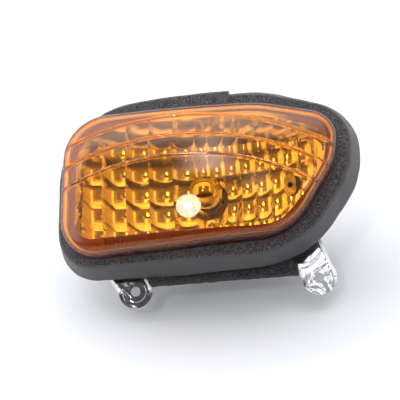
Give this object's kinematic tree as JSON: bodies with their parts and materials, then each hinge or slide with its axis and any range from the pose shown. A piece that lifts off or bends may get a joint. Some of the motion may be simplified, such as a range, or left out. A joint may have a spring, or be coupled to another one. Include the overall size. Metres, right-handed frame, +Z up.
{
  "type": "motorcycle turn signal",
  "caption": "Fairing-mounted amber turn signal: swept lens on a metallised reflector housing with screw ears, foam gasket round the rim, bayonet bulb in a twist-in holder.",
  "frame": {"origin": "middle point between the two ear screw holes, on the ears' rear mounting face", "axes": "+X to the right as the rider in front sees the lamp, through both screw holes; +Y backwards, out of the mounting face; +Z up; the lens faces -Y"},
  "size_m": [0.1745, 0.1025, 0.1168],
  "materials": {
    "amber_lens": "clear gloss",
    "metallised": "mirror",
    "foam": "open-cell matte",
    "sealant": "satin",
    "bulb_glass": "clear",
    "nickel": "satin",
    "brass": "satin",
    "tungsten": "matte",
    "vitrite": "gloss",
    "solder": "satin",
    "holder_plastic": "satin",
    "carrier_board": "matte",
    "black_rubber": "matte",
    "filter_foam": "matte",
    "spring_steel": "satin"
  },
  "bodies": {
    "root": {"lens": "amber_lens", "reflector_housing": "metallised", "lens_sealant": "sealant", "rim_gasket": "foam", "lower_foam_strip": "foam", "breather_elbow": "black_rubber", "breather_filter": "filter_foam", "bulb_glass": "bulb_glass", "bulb_stem": "bulb_glass", "bulb_lead_wires": "nickel", "bulb_filament": "tungsten", "bulb_cap": "nickel", "bulb_cap_pins": "brass", "bulb_insulator": "vitrite", "bulb_contact": "solder", "holder_body": "holder_plastic", "holder_sleeve": "nickel", "holder_seal": "black_rubber", "contact_carrier": "carrier_board", "centre_contact": "brass", "contact_spring": "spring_steel", "live_terminal": "brass", "earth_terminal": "brass"}
  },
  "joints": []
}
